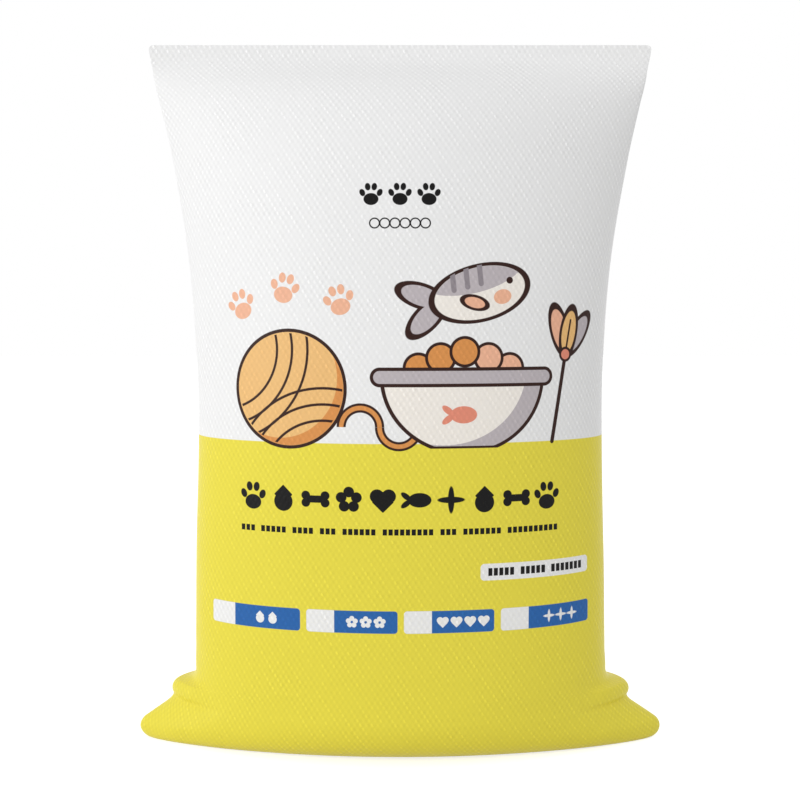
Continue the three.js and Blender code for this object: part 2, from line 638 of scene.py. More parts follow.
    def strip_columns(self, x: np.ndarray) -> np.ndarray:
        """Moves the rear wall's columns so that two lie on each edge of the strip.

        Args:
            x: Places across of the plain columns.

        Returns:
            Places across with the strip's edges among them.
        """
        edge = self.strip_width / 2
        high = int(np.searchsorted(self.plain_places() * self.belly_half_width, edge))
        low = self.columns - high
        marks = [x[0], x[low], x[low + 1], x[high - 1], x[high], x[-1]]
        moved = [x[0], -edge, -edge + self.strip_sharp, edge - self.strip_soft, edge, x[-1]]
        return np.interp(x, marks, moved)

    def strip_height(self, x: np.ndarray) -> np.ndarray:
        """How far the glued strip stands out at places across the rear wall.

        Args:
            x: The places.

        Returns:
            The strip's height at each.
        """
        edge, step = self.strip_width / 2, self.strip_step
        marks = [-edge, -edge + self.strip_sharp, edge - self.strip_soft, edge]
        return np.interp(x, marks, [0, step, step, 0], left=0, right=0)

    def build(self) -> bpy.types.Object:
        """Lofts the levels into one closed mesh with its cloth coordinates.

        Returns:
            The sack's object, at the origin.
        """
        self.levels = [*self.foot_levels(), *self.body_levels(), *self.seam_levels()]
        self.measure_cloth()
        points, cloth = [], []
        for level in self.levels:
            front, front_cloth = self.wall_points(level, rear=False)
            rear, rear_cloth = self.wall_points(level, rear=True)
            points.append(np.concatenate([front, rear[-2:0:-1]]))
            cloth.append(np.concatenate([front_cloth, self.round_back(front_cloth, rear_cloth)]))
        return self.skin(np.array(points), np.array(cloth))

    def round_back(self, front: np.ndarray, rear: np.ndarray) -> np.ndarray:
        """Carries the cloth's coordinates on round the side to the rear wall.

        Args:
            front: Cloth coordinates along the front wall.
            rear: Cloth coordinates along the rear wall.

        Returns:
            The rear wall's, from the right side back to the left, without its ends.
        """
        turned = rear[-2:0:-1].copy()
        turned[:, 0] = front[-1, 0] + (rear[-1, 0] - turned[:, 0])
        return turned

    def skin(self, points: np.ndarray, cloth: np.ndarray) -> bpy.types.Object:
        """Makes faces between the rings and closes the top and the base.

        Args:
            points: Points by ring and place round it.
            cloth: Their cloth coordinates.

        Returns:
            The sack's object.
        """
        rings, count = points.shape[:2]
        draft = Draft([tuple(point) for point in points.reshape(-1, 3)])
        uvs = [tuple(pair) for pair in cloth.reshape(-1, 2)]
        girth = [row[-1, 0] + (row[1, 0] - row[0, 0]) for row in cloth]
        for ring in range(rings - 1):
            for place in range(count):
                after = (place + 1) % count
                a, b = ring * count + place, ring * count + after
                face = (a, b, b + count, a + count)
                pairs = [uvs[index] for index in face]
                if after == 0:
                    pairs[1] = (girth[ring], pairs[1][1])
                    pairs[2] = (girth[ring + 1], pairs[2][1])
                draft.add(face, pairs)
        self.close_base(points[0], cloth[0], draft)
        self.close_top(rings - 1, count, uvs, draft)
        return self.mesh_object(draft)

    def close_base(self, ring: np.ndarray, cloth: np.ndarray, draft: Draft) -> None:
        """Fills the base with rows that run from the front wall to the rear one.

        Args:
            ring: Points of the lowest ring.
            cloth: Their cloth coordinates.
            draft: The mesh, which the base is added to.
        """
        count = len(ring)
        rows = []
        for column in range(1, self.columns):
            front, rear = column, count - column
            row = [front]
            for step in range(1, self.base_rows):
                share = step / self.base_rows
                draft.vertices.append(tuple(ring[front] * (1 - share) + ring[rear] * share))
                row.append(len(draft.vertices) - 1)
            row.append(rear)
            rows.append(row)

        def under(index: int) -> Pair:
            """Cloth coordinates on the base: across, and in from the front edge."""
            x, y, _ = draft.vertices[index]
            return (x, cloth[self.columns // 2, 1] - self.base_depth - y)

        def add(*face: int) -> None:
            """Adds one face of the base."""
            draft.add(face, [under(index) for index in face])

        for one, other in zip(rows, rows[1:]):
            for step in range(self.base_rows):
                add(one[step], one[step + 1], other[step + 1], other[step])
        for step in range(self.base_rows):
            add(0, rows[0][step + 1], rows[0][step])
            add(self.columns, rows[-1][step], rows[-1][step + 1])

    def close_top(self, ring: int, count: int, uvs: list[Pair], draft: Draft) -> None:
        """Joins the two walls along the cut top edge.

        Args:
            ring: Index of the highest ring.
            count: Points in a ring.
            uvs: Cloth coordinates of the rings' points.
            draft: The mesh, which the top is added to.
        """
        first = ring * count
        for column in range(self.columns):
            front, beside = first + column, first + column + 1
            rear = first + (count - column) % count
            rear_beside = first + count - column - 1
            face = tuple(dict.fromkeys((front, beside, rear_beside, rear)))
            draft.add(face, [uvs[index] for index in face])

    def mesh_object(self, draft: Draft) -> bpy.types.Object:
        """Makes the smooth mesh object, with small ripples in its cloth.

        Args:
            draft: The mesh.

        Returns:
            The sack's object.
        """
        mesh = bpy.data.meshes.new("litter_sack")
        mesh.from_pydata(draft.vertices, [], draft.faces)
        layer = mesh.uv_layers.new(name="cloth")
        flat = [value for places in draft.places for pair in places for value in pair]
        layer.data.foreach_set("uv", flat)
        for vertex in mesh.vertices:
            x, y, z = vertex.co
            outward = Vector((x / self.flat_width, y / self.belly[0][1], 0))
            if outward.length > 1e-6:
                vertex.co += outward.normalized() * self.ripple(x, y, z)
        mesh.shade_smooth()
        mesh.update()
        sack = bpy.data.objects.new("litter_sack", mesh)
        bpy.context.scene.collection.objects.link(sack)
        return sack


@dataclass(frozen=True)
class Shape:
    """A flat shape: it lies where the field is below the rim.

    per_mm says how much the field changes over a millimetre.
    """

    field: Socket
    rim: float
    per_mm: float = 1.0


@dataclass(frozen=True)
class Spot:
    """A place on the print, in millimetres, with a size and a turn in degrees."""

    x: float
    y: float
    size: float = 1.0
    turn: float = 0.0

    def at(self, x: float, y: float) -> Pair:
        """Finds where a point of a motif's own drawing lies on the print.

        Args:
            x: The point's place across in the drawing.
            y: Its place up in the drawing.

        Returns:
            Its place across and up on the print.
        """
        turn = math.radians(self.turn)
        return (
            self.x + self.size * (x * math.cos(turn) - y * math.sin(turn)),
            self.y + self.size * (x * math.sin(turn) + y * math.cos(turn)),
        )


class Plate:
    """A drawing in flat inks, kept as one node group over the cloth's coordinates."""

    soft_edge: float = 0.22
    block_share: float = 0.74

    def __init__(self, name: str) -> None:
        """Starts the group with its sockets.

        Args:
            name: The group's name.
        """
        self.tree = bpy.data.node_groups.new(name, "ShaderNodeTree")
        face = self.tree.interface
        face.new_socket("Cloth", in_out="INPUT", socket_type="NodeSocketVector")
        face.new_socket("Ground", in_out="INPUT", socket_type="NodeSocketColor")
        face.new_socket("Color", in_out="OUTPUT", socket_type="NodeSocketColor")
        source = self.tree.nodes.new("NodeGroupInput")
        self.cloth = source.outputs["Cloth"]
        self.colour = source.outputs["Ground"]
        self.x = self.vector("DOT_PRODUCT", self.cloth, (1, 0, 0)).outputs["Value"]
        self.y = self.vector("DOT_PRODUCT", self.cloth, (0, 1, 0)).outputs["Value"]

    def finish(self) -> Tree:
        """Joins the last colour to the group's output.

        Returns:
            The group.
        """
        sink = self.tree.nodes.new("NodeGroupOutput")
        self.tree.links.new(self.colour, sink.inputs["Color"])
        return self.tree

    def math(self, operation: str, *values: object, clamp: bool = False) -> Socket:
        """Adds a Math node to the group and returns its output."""
        return add_math(self.tree, operation, *values, clamp=clamp)

    def vector(self, operation: str, *values: object) -> bpy.types.Node:
        """Adds a Vector Math node to the group."""
        return add_vector(self.tree, operation, *values)

    def local(self, centre: Pair, scale: Pair, turn: float) -> Socket:
        """Gives the cloth's coordinates as seen from a place.

        Args:
            centre: The place, which gets the coordinates 0, 0.
            scale: Millimetres to a unit along the turned axes.
            turn: How far the axes are turned, in degrees.

        Returns:
            The coordinates.
        """
        if not turn:
            grow = (1 / scale[0], 1 / scale[1], 0)
            shift = (-centre[0] / scale[0], -centre[1] / scale[1], 0)
            return self.vector("MULTIPLY_ADD", self.cloth, grow, shift).outputs[0]
        cos, sin = math.cos(math.radians(turn)), math.sin(math.radians(turn))
        gap = self.vector("SUBTRACT", self.cloth, (*centre, 0)).outputs[0]
        along = self.vector("DOT_PRODUCT", gap, (cos / scale[0], sin / scale[0], 0))
        aside = self.vector("DOT_PRODUCT", gap, (-sin / scale[1], cos / scale[1], 0))
        both = self.tree.nodes.new("ShaderNodeCombineXYZ")
        self.tree.links.new(along.outputs["Value"], both.inputs[0])
        self.tree.links.new(aside.outputs["Value"], both.inputs[1])
        return both.outputs[0]

    def oval(self, centre: Pair, radii: Pair, turn: float = 0.0) -> Shape:
        """An ellipse."""
        place = self.local(centre, radii, turn)
        return Shape(self.vector("LENGTH", place).outputs["Value"], 1.0, 1 / min(radii))

    def disc(self, centre: Pair, radius: float) -> Shape:
        """A circle."""
        gap = self.vector("DISTANCE", self.cloth, (*centre, 0)).outputs["Value"]
        return Shape(gap, radius)

    def hoop(self, centre: Pair, radius: float, width: float) -> Shape:
        """The line of a circle."""
        gap = self.vector("DISTANCE", self.cloth, (*centre, 0)).outputs["Value"]
        return Shape(self.math("ABSOLUTE", self.math("SUBTRACT", gap, radius)), width / 2)

    def slab(self, centre: Pair, size: Pair, corner: float, turn: float = 0.0) -> Shape:
        """Draws a rectangle with rounded corners, or a bar with round ends.

        Args:
            centre: Its centre.
            size: Its sides along its own axes.
            corner: Radius of its corners.
            turn: How far it is turned, in degrees.

        Returns:
            The shape.
        """
        place = self.vector("ABSOLUTE", self.local(centre, (1, 1), turn)).outputs[0]
        inner = (size[0] / 2 - corner, size[1] / 2 - corner, 0)
        out = self.vector("SUBTRACT", place, inner).outputs[0]
        out = self.vector("MAXIMUM", out, (0, 0, 0)).outputs[0]
        return Shape(self.vector("LENGTH", out).outputs["Value"], corner)

    def below(self, height: float) -> Shape:
        """All of the cloth below a height."""
        return Shape(self.y, height)

    def above(self, height: float) -> Shape:
        """All of the cloth above a height."""
        return Shape(self.math("MULTIPLY", self.y, -1), -height)

    def left_of(self, place: float) -> Shape:
        """All of the cloth to the left of a place."""
        return Shape(self.x, place)

    def mask(self, shape: Shape, grow: float = 0.0) -> Socket:
        """Turns a shape into a mask with a slightly soft edge.

        Args:
            shape: The shape.
            grow: How much larger than the shape the mask is, in millimetres.

        Returns:
            1 inside the shape and 0 outside it.
        """
        slope = -1 / (shape.per_mm * self.soft_edge)
        middle = 0.5 - (shape.rim + grow * shape.per_mm) * slope
        return self.math("MULTIPLY_ADD", shape.field, slope, middle, clamp=True)

    def paint(
        self,
        ink: Ink,
        *shapes: Shape,
        grow: float = 0.0,
        within: tuple[Shape, ...] = (),
        outside: tuple[Shape, ...] = (),
    ) -> None:
        """Lays one ink over what is drawn so far.

        Args:
            ink: The ink.
            shapes: Shapes that are all inked.
            grow: How much larger than the shapes the ink is, in millimetres.
            within: Shapes that the ink stays inside.
            outside: Shapes that the ink stays out of.
        """
        cover = self.mask(shapes[0], grow)
        for shape in shapes[1:]:
            cover = self.math("MAXIMUM", cover, self.mask(shape, grow))
        for shape in within:
            cover = self.math("MULTIPLY", cover, self.mask(shape))
        for shape in outside:
            free = self.math("SUBTRACT", 1, self.mask(shape))
            cover = self.math("MULTIPLY", cover, free)
        self.lay(ink, cover)

    def lay(self, ink: Ink, cover: Socket) -> None:
        """Mixes one ink in over what is drawn so far.

        Args:
            ink: The ink.
            cover: 1 where it lies and 0 elsewhere.
        """
        node = self.tree.nodes.new("ShaderNodeMix")
        node.data_type = "RGBA"
        self.tree.links.new(cover, node.inputs["Factor"])
        self.tree.links.new(self.colour, node.inputs["A"])
        node.inputs["B"].default_value = ink.value
        self.colour = node.outputs["Result"]

    def drawn(self, ink: Ink, *shapes: Shape, line: float = 1.7, **limits: tuple) -> None:
        """Inks shapes that overlap as one figure, with a dark line round it."""
        self.paint(Ink.BROWN, *shapes, grow=line / 2, **limits)
        self.paint(ink, *shapes, grow=-line / 2, **limits)

    def words(
        self,
        ink: Ink,
        start: float,
        height: Pair,
        runs: tuple[int, ...],
        block: float = 2.87,
    ) -> None:
        """Lays a row of small plain blocks where a line of small print would be.

        Args:
            ink: The ink.
            start: Where the first run of blocks starts.
            height: The row's lower and upper edge.
            runs: Blocks in each run and in the gap after it, in turn.
            block: Length of a block with its gap.
        """
        middle, half = sum(height) / 2, (height[1] - height[0]) / 2
        cover = None
        place = start
        for index, run in enumerate(runs):
            length = run * block
            if index % 2 == 0:
                bar = self.math("COMPARE", self.x, place + length / 2, length / 2)
                cover = bar if cover is None else self.math("ADD", cover, bar)
            place += length
        row = self.math("COMPARE", self.y, middle, half)
        beat = self.math("MULTIPLY_ADD", self.x, 1 / block, -start / block)
        beat = self.math("LESS_THAN", self.math("FRACT", beat), self.block_share)
        row = self.math("MULTIPLY", row, beat)
        self.lay(ink, self.math("MULTIPLY", cover, row))


class Motifs:
    """Simple figures that are stamped on a plate, about 14 mm across at size 1."""

    def __init__(self, plate: Plate) -> None:
        """Keeps the plate to draw on."""
        self.plate = plate

    def dot(self, spot: Spot, x: float, y: float, radius: float) -> Shape:
        """A circle of a motif."""
        return self.plate.disc(spot.at(x, y), radius * spot.size)

    def egg(self, spot: Spot, x: float, y: float, radii: Pair, turn: float = 0.0) -> Shape:
        """An ellipse of a motif."""
        size = (radii[0] * spot.size, radii[1] * spot.size)
        return self.plate.oval(spot.at(x, y), size, turn + spot.turn)

    def bar(
        self,
        spot: Spot,
        x: float,
        y: float,
        size: Pair,
        corner: float,
        turn: float = 0.0,
    ) -> Shape:
        """A rounded rectangle of a motif."""
        scaled = (size[0] * spot.size, size[1] * spot.size)
        return self.plate.slab(spot.at(x, y), scaled, corner * spot.size, turn + spot.turn)

    def paw(self, spot: Spot) -> list[Shape]:
        """A paw print.

        Args:
            spot: Where it lies.

        Returns:
            Its pad and its four toes.
        """
        toes = [(-5.0, 1.2, 24), (-1.9, 4.6, 8), (1.9, 4.6, -8), (5.0, 1.2, -24)]
        pad = self.egg(spot, 0, -2.6, (4.3, 3.5))
        return [pad, *[self.egg(spot, x, y, (1.6, 2.2), turn) for x, y, turn in toes]]

    def drop(self, spot: Spot) -> list[Shape]:
        """A drop of water."""
        return [self.dot(spot, 0, -1.6, 4.6), self.bar(spot, 0, 1.65, (6.5, 6.5), 0.4, 45)]

    def heart(self, spot: Spot) -> list[Shape]:
        """A heart."""
        halves = [self.dot(spot, x, 1.8, 3.3) for x in (-2.7, 2.7)]
        return [*halves, self.bar(spot, 0, -0.9, (7.2, 7.2), 0.5, 45)]

    def fish(self, spot: Spot) -> list[Shape]:
        """A plain fish, its tail to the left."""
        tail = [self.egg(spot, -5.0, y, (2.9, 1.3), turn) for y, turn in ((1.7, -38), (-1.7, 38))]
        return [self.egg(spot, 1.2, 0, (5.4, 3.4)), *tail]

    def bone(self, spot: Spot) -> list[Shape]:
        """A biscuit in the shape of a bone."""
        ends = [self.dot(spot, x, y, 2.1) for x in (-4.6, 4.6) for y in (-1.7, 1.7)]
        return [self.bar(spot, 0, 0, (9, 3.4), 0.4), *ends]

    def flower(self, spot: Spot) -> list[Shape]:
        """A flower with five round petals.

        Args:
            spot: Where it lies.

        Returns:
            Its petals.
        """
        petals = []
        for index in range(5):
            turn = math.radians(90 + 72 * index)
            petals.append(self.dot(spot, 3.7 * math.cos(turn), 3.7 * math.sin(turn), 2.5))
        return petals

    def spark(self, spot: Spot) -> list[Shape]:
        """A spark with four points."""
        return [self.egg(spot, 0, 0, (6.4, 1.5), turn) for turn in (0, 90)]


@dataclass(frozen=True)
class Layout:
    """Where the print lies on the cloth: across from the middle, and up, in millimetres.

    A size of 1 is a motif's own. Runs count the blocks of a run and of the gap after
    it, in turn.
    """

    border: float = 167.8
    picture: Pair = (162.0, 266.0)
    reach: float = 110.0
    title: Pair = (132.6, 146.8)
    title_reach: float = 83.2
    subtitle: Pair = (121.9, 125.0)
    weight: tuple[float, float, float, float] = (40.6, 103.0, 98.0, 106.6)
    labels: Pair = (71.7, 83.2)
    label_edges: tuple[Triple, ...] = (
        (-102.8, -87.6, -50.9),
        (-47.6, -33.2, -1.2),
        (2.0, 16.0, 47.9),
        (51.4, 66.4, 103.6),
    )
    name: Pair = (284.8, 296.0)
    name_reach: float = 21.4
    name_size: float = 0.86
    tagline: Pair = (273.2, 279.2)
    ring_count: int = 6
    ring_pitch: float = 5.0
    ring_line: float = 0.7
    ring_inset: float = 0.6
    title_size: float = 1.08
    title_inset: float = 7.0
    subtitle_runs: tuple[int, ...] = (3, 1, 5, 1, 4, 1, 3, 1, 6, 1, 9, 1, 3, 1, 7, 1, 10)
    weight_corner: float = 2.0
    weight_inset: Pair = (4.0, 2.3)
    weight_runs: tuple[int, ...] = (5, 1, 5, 1, 7)
    label_corner: float = 1.7
    label_size: float = 0.5
    label_pitch: float = 7.0
    margin: float = 2.0


@dataclass(frozen=True)
class Band:
    """A band of the front with its own plate, from one height to another."""

    low: float
    high: float
    plate: Tree


class FrontPrint:
    """The print on the sack: colour fields, labels, plain marks and a still life.

    A shade inside a figure grows by inner, so that it ends at the figure's dark line.
    """

    inner: float = -0.9

    def __init__(self, layout: Layout) -> None:
        """Keeps the layout."""
        self.layout = layout

    def fields(self) -> Tree:
        """Draws the two colour fields that go all round the sack.

        Returns:
            The fields' group.
        """
        plate = Plate("colour_fields")
        plate.paint(Ink.YELLOW, plate.below(self.layout.border))
        return plate.finish()

    def bands(self) -> list[Band]:
        """Draws the bands of the front.

        Returns:
            The bands, from the top down.
        """
        layout = self.layout
        self.begin("name_band")
        self.name_place()
        name = self.end(layout.tagline[0], layout.name[1])
        self.begin("picture_band")
        self.yarn_ball()
        self.bowl()
        self.toy_fish()
        self.feather_wand()
        self.paw_prints()
        picture = Band(*layout.picture, self.plate.finish())
        self.begin("title_band")
        self.title_row()
        title = self.end(layout.subtitle[0], layout.title[1])
        self.begin("label_band")
        self.weight_label()
        for index, edges in enumerate(layout.label_edges):
            self.tick_label(index, edges)
        return [name, picture, title, self.end(layout.labels[0], layout.weight[3])]

    def begin(self, name: str) -> None:
        """Starts the plate of the next band."""
        self.plate = Plate(name)
        self.motifs = Motifs(self.plate)

    def end(self, low: float, high: float) -> Band:
        """Ends the plate of a band whose print goes from one height to another."""
        return Band(low - self.layout.margin, high + self.layout.margin, self.plate.finish())

    def name_place(self) -> None:
        """Draws three plain paw prints and a row of thin rings at the front's head."""
        layout = self.layout
        low, high = layout.name
        step = layout.name_reach * 2 / 3
        shapes = []
        for index in (-1, 0, 1):
            shapes += self.motifs.paw(Spot(index * step, (low + high) / 2, layout.name_size))
        self.plate.paint(Ink.BLACK, *shapes)
        low, high = layout.tagline
        radius = (high - low) / 2 - layout.ring_inset
        rings = []
        for index in range(layout.ring_count):
            place = (index - (layout.ring_count - 1) / 2) * layout.ring_pitch
            rings.append(self.plate.hoop((place, (low + high) / 2), radius, layout.ring_line))
        self.plate.paint(Ink.BLACK, *rings)

    def yarn_ball(self) -> None:
        """Draws a ball of yarn with crossing windings and a loose end."""
        plate, centre, radius = self.plate, (-56.0, 194.5), 29.0
        ball = plate.disc(centre, radius)
        lit = plate.disc((-61.0, 200.0), radius + 1)
        for place, size, limit in (
            ((-19.5, 176.0), 9.5, plate.above(176.0)),
            ((-0.5, 176.0), 9.5, plate.below(176.0)),
        ):
            plate.drawn(Ink.AMBER, plate.hoop(place, size, 3.4), line=1.2, within=(limit,))
        plate.drawn(Ink.TAN, ball)
        plate.paint(Ink.AMBER, ball, grow=self.inner, outside=(lit,))
        windings = [plate.hoop((-92.0, 214.0), size, 1.5) for size in (30, 38, 46)]
        windings += [plate.hoop((-38.0, 146.0), size, 1.5) for size in (33, 41, 49)]
        inside = plate.disc(centre, radius - 1.4)
        plate.paint(Ink.BROWN, *windings, grow=-0.1, within=(inside,))

    def bowl(self) -> None:
        """Draws a food bowl with a heap of biscuits in it and a fish on its side."""
        plate = self.plate
        heap = ((9, 205), (55, 205), (20, 210), (44, 210), (32, 213))
        for index, place in enumerate(heap):
            ink = (Ink.AMBER, Ink.PEACH)[index % 2]
            plate.drawn(ink, plate.disc(place, 7.0), line=1.5)
        side = plate.oval((32, 201), (41, 38))
        band = (plate.below(200.0), plate.above(166.6))
        edge = (plate.below(200.0), plate.above(165.4))
        plate.paint(Ink.BROWN, side, grow=-self.inner, within=edge)
        plate.paint(Ink.CREAM, side, grow=self.inner, within=band)
        shade = plate.oval((22, 205), (42, 38))
        plate.paint(Ink.GREY, side, grow=self.inner, within=band, outside=(shade,))
        plate.drawn(Ink.GREY, plate.slab((32, 200.5), (92, 8), 4))
        plate.paint(Ink.ROSE, *self.motifs.fish(Spot(30, 182.0, 1.25)))

    def toy_fish(self) -> None:
        """Draws a stuffed fish above the bowl."""
        plate, spot = self.plate, Spot(36, 241, 1.0, 14)
        motifs = self.motifs
        body = motifs.egg(spot, 4, 0, (25, 13.5))
        tail = [motifs.egg(spot, -25, y, (12, 5.6), turn) for y, turn in ((5.5, -32), (-5.5, 32))]
        plate.drawn(Ink.GREY, *tail)
        plate.drawn(Ink.CREAM, body)
        back = motifs.egg(spot, 3, 11.5, (27, 11))
        plate.paint(Ink.GREY, body, grow=self.inner, within=(back,))
        stripes = [motifs.bar(spot, x, 9, (2.6, 12), 1.3, -8) for x in (-8, -1, 6)]
        plate.paint(Ink.SLATE, *stripes, within=(body, back))
        plate.paint(Ink.BROWN, motifs.dot(spot, 20, 2.5, 1.7))
        plate.paint(Ink.PEACH, motifs.egg(spot, 14.5, -4.5, (4.6, 3.6)))
        plate.drawn(Ink.PEACH, motifs.egg(spot, 0, -4.0, (6.5, 3.2), -28), line=1.3)

    def feather_wand(self) -> None:
        """Draws a play wand with three feathers that leans at the right of the bowl."""
        plate, spot, motifs = self.plate, Spot(84, 196, 1.0, -10), self.motifs
        plate.paint(Ink.BROWN, motifs.bar(spot, 0, -6, (2.2, 48), 1.1))
        feathers = ((Ink.PEACH, -6.0, 26), (Ink.GREY, 6.0, -26), (Ink.TAN, 0.0, 0))
        for ink, x, turn in feathers:
            plate.drawn(ink, motifs.egg(spot, x, 27, (5.0, 12.5), turn), line=1.5)
        plate.paint(Ink.BROWN, motifs.bar(spot, 0, 26, (1.1, 15), 0.5))
        plate.drawn(Ink.ROSE, motifs.dot(spot, 0, 15.5, 3.2), line=1.3)

    def paw_prints(self) -> None:
        """Draws three pale paw prints at the upper left."""
        places = (Spot(-82, 236, 1.15, 18), Spot(-58, 244, 1.15, -12), Spot(-30, 238, 1.15, 14))
        shapes = []
        for spot in places:
            shapes += self.motifs.paw(spot)
        self.plate.paint(Ink.PEACH, *shapes)

    def title_row(self) -> None:
        """Draws a row of plain figures and a row of blocks in the yellow field."""
        motifs, layout = self.motifs, self.layout
        low, high = layout.title
        figures = [
            motifs.paw, motifs.drop, motifs.bone, motifs.flower, motifs.heart,
            motifs.fish, motifs.spark, motifs.drop, motifs.bone, motifs.paw,
        ]
        start = layout.title_inset - layout.title_reach
        step = -start * 2 / (len(figures) - 1)
        shapes = []
        for index, figure in enumerate(figures):
            shapes += figure(Spot(start + index * step, (low + high) / 2, layout.title_size))
        self.plate.paint(Ink.BLACK, *shapes)
        runs = layout.subtitle_runs
        self.plate.words(Ink.BLACK, -layout.title_reach, layout.subtitle, runs)

    def weight_label(self) -> None:
        """Draws a white label with a row of small blocks."""
        layout = self.layout
        left, right, low, high = layout.weight
        centre = ((left + right) / 2, (low + high) / 2)
        label = self.plate.slab(centre, (right - left, high - low), layout.weight_corner)
        self.plate.paint(Ink.FILM, label)
        aside, up = layout.weight_inset
        self.plate.words(Ink.BLACK, left + aside, (low + up, high - up), layout.weight_runs)

    def tick_label(self, index: int, edges: Triple) -> None:
        """Draws a label with a white tick box and a blue field with small figures.

        Args:
            index: Which of the four labels it is.
            edges: Its left edge, the edge between box and field, and its right edge.
        """
        layout, motifs = self.layout, self.motifs
        left, split, right = edges
        low, high = layout.labels
        centre = ((left + right) / 2, (low + high) / 2)
        label = self.plate.slab(centre, (right - left, high - low), layout.label_corner)
        self.plate.paint(Ink.BLUE, label)
        self.plate.paint(Ink.FILM, label, within=(self.plate.left_of(split),))
        figure = (motifs.drop, motifs.flower, motifs.heart, motifs.spark)[index]
        count = (2, 3, 4, 3)[index]
        for turn in range(count):
            place = (split + right) / 2 + (turn - (count - 1) / 2) * layout.label_pitch
            self.plate.paint(Ink.FILM, *figure(Spot(place, centre[1], layout.label_size)))


@dataclass(frozen=True)
class Weave:
    """The woven tape under the film, in millimetres.

    Every fourth crossing of a row stands up, one tape further on in each row, and the
    one halfway to the next stands up a little. The crossings between them dip. That
    gives the cloth fine diagonals. The height also scales the printed colour: lighter on
    raised crossings, a painted highlight, and darker in the dips, painted shade.
    """

    warp_pitch: float = 1.48
    weft_pitch: float = 2.30
    floats: int = 4
    half_float: float = 0.4
    dip: float = 0.35
    slant: float = 0.5
    # The next two set how much a crossing's height lightens or darkens the colour: painted
    # highlight and painted shade.
    relief: float = 0.11
    painted_light_base: float = 0.965
    least_height: float = 0.35
    height_spread: float = 1.1
    patch_scale: float = 0.04
    patch_gain: float = 2.0

    def build(self) -> Tree:
        """Makes the weave's node group: cloth coordinates in, height and the painted light and
        shade out.

        Returns:
            The group.
        """
        tree = bpy.data.node_groups.new("tape_weave", "ShaderNodeTree")
        face = tree.interface
        face.new_socket("Cloth", in_out="INPUT", socket_type="NodeSocketVector")
        face.new_socket("Height", in_out="OUTPUT", socket_type="NodeSocketFloat")
        face.new_socket("Shade", in_out="OUTPUT", socket_type="NodeSocketFloat")
        cloth = tree.nodes.new("NodeGroupInput").outputs["Cloth"]
        sink = tree.nodes.new("NodeGroupOutput")
        pitch = (self.warp_pitch, self.weft_pitch, 1)
        cells = add_vector(tree, "DIVIDE", cloth, pitch).outputs[0]
        index = add_vector(tree, "FLOOR", cells).outputs[0]
        stand = add_math(tree, "MULTIPLY", self.pillow(tree, cells), self.raised(tree, index))
        height = add_math(tree, "MULTIPLY", stand, self.unevenness(tree, cloth, index))
        tree.links.new(height, sink.inputs["Height"])
        # The shade scales the colour by height: a painted highlight on raised crossings, painted
        # shade in the dips.
        shade = add_math(tree, "MULTIPLY", height, self.relief)
        shade = add_math(tree, "ADD", shade, self.painted_light_base)
        tree.links.new(shade, sink.inputs["Shade"])
        return tree

    def pillow(self, tree: Tree, cells: Socket) -> Socket:
        """Gives each crossing of two tapes a rounded crown that slants.

        Args:
            tree: The weave's group.
            cells: The cloth's coordinates counted in tapes.

        Returns:
            The crown's height, 1 in its middle and 0 at its edge.
        """
        inside = add_vector(tree, "FRACTION", cells).outputs[0]
        split = tree.nodes.new("ShaderNodeSeparateXYZ")
        tree.links.new(inside, split.inputs[0])
        up = add_math(tree, "SUBTRACT", split.outputs[1], 0.5)
        aside = add_math(tree, "SUBTRACT", split.outputs[0], 0.5)
        aside = add_math(tree, "ADD", aside, add_math(tree, "MULTIPLY", up, self.slant))
        crowns = []
        for gap in (aside, up):
            square = add_math(tree, "MULTIPLY", gap, gap)
            crown = add_math(tree, "SUBTRACT", 1, add_math(tree, "MULTIPLY", square, 4))
            crowns.append(add_math(tree, "MAXIMUM", crown, 0))
        return add_math(tree, "MULTIPLY", *crowns)

    def raised(self, tree: Tree, index: Socket) -> Socket:
        """Tells how far a crossing stands up, by its place in its row.

        Args:
            tree: The weave's group.
            index: The crossing's number across and up.

        Returns:
            1 for a float, less for a half float, and below 0 for a dip.
        """
        phase = add_vector(tree, "DOT_PRODUCT", index, (1, 1, 0)).outputs["Value"]
        phase = add_math(tree, "FLOORED_MODULO", phase, self.floats)
        whole = add_math(tree, "LESS_THAN", phase, 0.5)
        half = add_math(tree, "COMPARE", phase, self.floats / 2, 0.25)
        raised = add_math(tree, "ADD", whole, add_math(tree, "MULTIPLY", half, self.half_float))
        odd = add_math(tree, "FLOORED_MODULO", phase, 2)
        return add_math(tree, "SUBTRACT", raised, add_math(tree, "MULTIPLY", odd, self.dip))

    def unevenness(self, tree: Tree, cloth: Socket, index: Socket) -> Socket:
        """Makes crossings differ, each from the next and slowly over the cloth.

        Args:
            tree: The weave's group.
            cloth: The cloth's coordinates.
            index: The crossing's number across and up.

        Returns:
            What the crossing's height is multiplied by.
        """
        chance = tree.nodes.new("ShaderNodeTexWhiteNoise")
        chance.noise_dimensions = "2D"
        tree.links.new(index, chance.inputs["Vector"])
        patches = tree.nodes.new("ShaderNodeTexNoise")
        patches.inputs["Scale"].default_value = self.patch_scale
        patches.inputs["Detail"].default_value = 1
        tree.links.new(cloth, patches.inputs["Vector"])
        own = add_math(tree, "MULTIPLY", chance.outputs["Value"], self.height_spread)
        own = add_math(tree, "ADD", own, self.least_height)
        slow = add_math(tree, "MULTIPLY", patches.outputs["Fac"], self.patch_gain)
        return add_math(tree, "MULTIPLY", own, slow)


